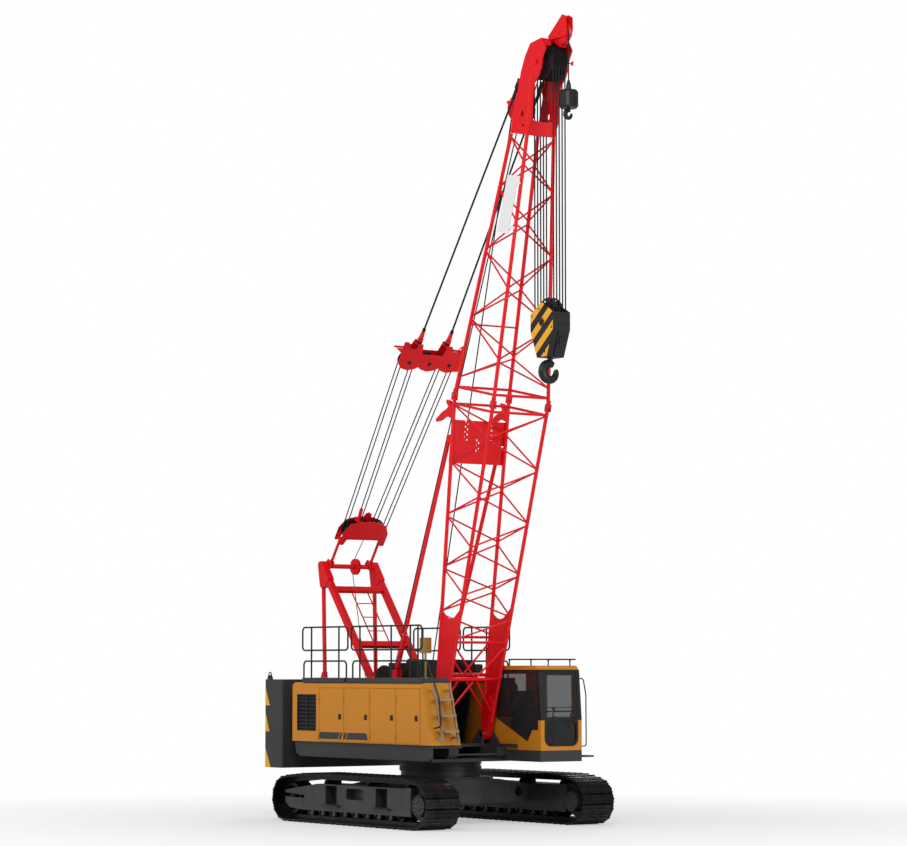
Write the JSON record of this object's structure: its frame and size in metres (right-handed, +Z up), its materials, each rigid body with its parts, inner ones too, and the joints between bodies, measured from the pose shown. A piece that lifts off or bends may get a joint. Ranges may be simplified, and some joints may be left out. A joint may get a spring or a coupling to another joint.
{
  "type": "crawler crane",
  "caption": "Mid-size lattice-boom crawler crane with its swing, luffing boom, stay gantry, backstops, hook blocks, winch drums and hood doors on real joints.",
  "frame": {"origin": "on the ground under the swing axis", "axes": "+X forward, +Y to the machine's left, +Z up"},
  "size_m": [8.6297, 4.36, 15.1929],
  "materials": {
    "amber_paint": "gloss",
    "black_paint": "satin",
    "black_plastic": "satin",
    "bright_steel": "polished",
    "dark_grey_paint": "satin",
    "galvanised_steel": "satin",
    "glass": "gloss",
    "lamp_gold": "satin",
    "red_paint": "gloss",
    "sheave_steel": "satin",
    "track_steel": "satin",
    "undercarriage_paint": "satin",
    "white_board": "satin",
    "wire_rope": "satin"
  },
  "bodies": {
    "undercarriage": {"carbody": "undercarriage_paint", "side_frames": "undercarriage_paint", "track_right": "track_steel", "track_left": "track_steel", "drive_sprockets": "undercarriage_paint", "idler_wheels": "track_steel", "track_rollers": "track_steel"},
    "upper": {"slewing_ring": "black_paint", "upper_frame": "dark_grey_paint", "deck_brackets": "red_paint", "counterweight": "dark_grey_paint", "hood_right": "amber_paint", "hood_left": "amber_paint", "louvres": "black_paint", "engine_block": "black_paint", "walkways": "dark_grey_paint", "handrails": "black_paint", "access_ladder": "galvanised_steel", "work_lamp": "lamp_gold", "air_cleaner": "black_paint", "winch_stands": "black_paint", "gantry": "red_paint", "cab_shell": "amber_paint", "cab_glass": "glass", "cab_rails": "black_paint", "cab_platform": "dark_grey_paint", "cab_interior": "black_plastic"},
    "hood_door_right_1": {"hood_door_right_1": "amber_paint"},
    "hood_door_right_2": {"hood_door_right_2": "amber_paint"},
    "hood_door_right_3": {"hood_door_right_3": "amber_paint"},
    "hood_door_right_4": {"hood_door_right_4": "amber_paint"},
    "hood_door_left_1": {"hood_door_left_1": "amber_paint"},
    "hood_door_left_2": {"hood_door_left_2": "amber_paint"},
    "hood_door_left_3": {"hood_door_left_3": "amber_paint"},
    "cab_door": {"cab_door": "amber_paint", "cab_door_glass": "glass"},
    "main_hoist_drum": {"main_hoist_drum": "sheave_steel"},
    "auxiliary_hoist_drum": {"auxiliary_hoist_drum": "sheave_steel"},
    "boom_hoist_drum": {"boom_hoist_drum": "sheave_steel"},
    "boom": {"boom_base": "red_paint", "boom_top": "red_paint", "boom_pins": "bright_steel", "boom_head": "red_paint", "head_sheaves": "sheave_steel", "auxiliary_tip": "red_paint", "rope_guard": "red_paint", "name_board": "white_board", "backstop_lugs": "red_paint"},
    "lower_hoist_block": {"lower_hoist_block": "red_paint", "lower_hoist_sheaves": "sheave_steel"},
    "spreader": {"upper_hoist_block": "red_paint", "upper_hoist_sheaves": "sheave_steel", "pendants": "wire_rope"},
    "hook_block": {"hook_block": "black_paint", "hook_block_sheaves": "sheave_steel"},
    "main_hook": {"main_hook": "black_paint"},
    "auxiliary_weight": {"auxiliary_weight": "black_paint"},
    "auxiliary_hook": {"auxiliary_hook": "black_paint"},
    "backstop_tubes": {"backstop_tubes": "red_paint"},
    "backstop_rods": {"backstop_rods": "red_paint"}
  },
  "joints": [
    {"name": "swing", "type": "hinge", "parent": "undercarriage", "child": "upper", "pos_m": [0, 0, 1.1], "axis": [0, 0, 1], "continuous": true},
    {"name": "hood_door_right_1_hinge", "type": "hinge", "parent": "upper", "child": "hood_door_right_1", "pos_m": [-2.201, -1.411, 2.08], "axis": [0, 0, 1], "range_deg": [-100, 0]},
    {"name": "hood_door_right_2_hinge", "type": "hinge", "parent": "upper", "child": "hood_door_right_2", "pos_m": [-1.306, -1.411, 2.08], "axis": [0, 0, 1], "range_deg": [-100, 0]},
    {"name": "hood_door_right_3_hinge", "type": "hinge", "parent": "upper", "child": "hood_door_right_3", "pos_m": [-0.386, -1.411, 2.08], "axis": [0, 0, 1], "range_deg": [-100, 0]},
    {"name": "hood_door_right_4_hinge", "type": "hinge", "parent": "upper", "child": "hood_door_right_4", "pos_m": [0.514, -1.411, 2.08], "axis": [0, 0, 1], "range_deg": [-100, 0]},
    {"name": "hood_door_left_1_hinge", "type": "hinge", "parent": "upper", "child": "hood_door_left_1", "pos_m": [-2.201, 1.411, 2.08], "axis": [0, 0, 1], "range_deg": [0, 100]},
    {"name": "hood_door_left_2_hinge", "type": "hinge", "parent": "upper", "child": "hood_door_left_2", "pos_m": [-1.306, 1.411, 2.08], "axis": [0, 0, 1], "range_deg": [0, 100]},
    {"name": "hood_door_left_3_hinge", "type": "hinge", "parent": "upper", "child": "hood_door_left_3", "pos_m": [-0.386, 1.411, 2.08], "axis": [0, 0, 1], "range_deg": [0, 100]},
    {"name": "cab_door_hinge", "type": "hinge", "parent": "upper", "child": "cab_door", "pos_m": [1.184, 1.671, 2.2], "axis": [0, 0, 1], "range_deg": [0, 85]},
    {"name": "main_hoist_drum_axle", "type": "hinge", "parent": "upper", "child": "main_hoist_drum", "pos_m": [-0.09, 0, 2.7], "axis": [0, 1, 0], "continuous": true},
    {"name": "auxiliary_hoist_drum_axle", "type": "hinge", "parent": "upper", "child": "auxiliary_hoist_drum", "pos_m": [-1.49, 0, 2.68], "axis": [0, 1, 0], "continuous": true},
    {"name": "boom_hoist_drum_axle", "type": "hinge", "parent": "upper", "child": "boom_hoist_drum", "pos_m": [-2.48, 0, 2.42], "axis": [0, 1, 0], "continuous": true},
    {"name": "boom_luff", "type": "hinge", "parent": "upper", "child": "boom", "pos_m": [0.732, 0, 1.721], "axis": [0, 1, 0], "range_deg": [-1.5, 48.5]},
    {"name": "lower_hoist_block_swing", "type": "hinge", "parent": "upper", "child": "lower_hoist_block", "pos_m": [-3.24, 0, 5.06], "axis": [0, 1, 0], "range_deg": [-1.68, 44.96]},
    {"name": "pendant_swing", "type": "hinge", "parent": "boom", "child": "spreader", "pos_m": [2.99163, 0, 14.06634], "axis": [0, 1, 0], "range_deg": [-4.14, 0.42]},
    {"name": "hook_block_swing", "type": "hinge", "parent": "boom", "child": "hook_block", "pos_m": [3.58308, 0, 14.35012], "axis": [0, 1, 0], "range_deg": [-48.8, 1.8]},
    {"name": "main_hook_swivel", "type": "hinge", "parent": "hook_block", "child": "main_hook", "pos_m": [3.58308, 0, 8.6], "axis": [0, 0, 1], "continuous": true},
    {"name": "auxiliary_weight_swing", "type": "hinge", "parent": "boom", "child": "auxiliary_weight", "pos_m": [3.97972, 0, 14.85008], "axis": [0, 1, 0], "range_deg": [-48.8, 1.8]},
    {"name": "auxiliary_hook_swivel", "type": "hinge", "parent": "auxiliary_weight", "child": "auxiliary_hook", "pos_m": [4.16972, 0, 13.4], "axis": [0, 0, 1], "continuous": true},
    {"name": "backstop_swing", "type": "hinge", "parent": "boom", "child": "backstop_tubes", "pos_m": [1.16657, 0, 7.38813], "axis": [0, 1, 0], "range_deg": [-3, 3]},
    {"name": "backstop_slide", "type": "slide", "parent": "backstop_tubes", "child": "backstop_rods", "axis": [-0.3734, 0, -0.9277], "range_m": [-0.06, 1.51]}
  ],
  "couplings": [
    {"joint": "lower_hoist_block_swing", "follows": "boom_luff", "ratio": 0.9209},
    {"joint": "pendant_swing", "follows": "boom_luff", "ratio": -0.0791},
    {"joint": "hook_block_swing", "follows": "boom_luff", "ratio": -1},
    {"joint": "auxiliary_weight_swing", "follows": "boom_luff", "ratio": -1},
    {"joint": "backstop_slide", "follows": "boom_luff", "m_per_rad": 1.771}
  ]
}
